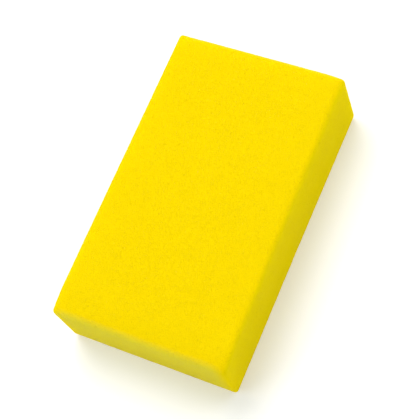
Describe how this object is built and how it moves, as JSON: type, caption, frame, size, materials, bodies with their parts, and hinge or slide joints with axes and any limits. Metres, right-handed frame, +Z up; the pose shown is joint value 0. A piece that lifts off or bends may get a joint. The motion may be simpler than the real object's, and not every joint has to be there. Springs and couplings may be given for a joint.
{
  "type": "foam sponge block",
  "caption": "Plain rectangular block of soft yellow open-cell foam with rounded edges, held in the hand for dabbing paint, wiping and cleaning.",
  "frame": {"origin": "centre of the flat underside that the block rests on", "axes": "+X along the length, +Y across the width, +Z up through the thickness"},
  "size_m": [0.12, 0.07, 0.03],
  "materials": {
    "yellow_foam": "matte open-cell polyurethane foam"
  },
  "bodies": {
    "root": {"foam_block": "yellow_foam"}
  },
  "joints": []
}
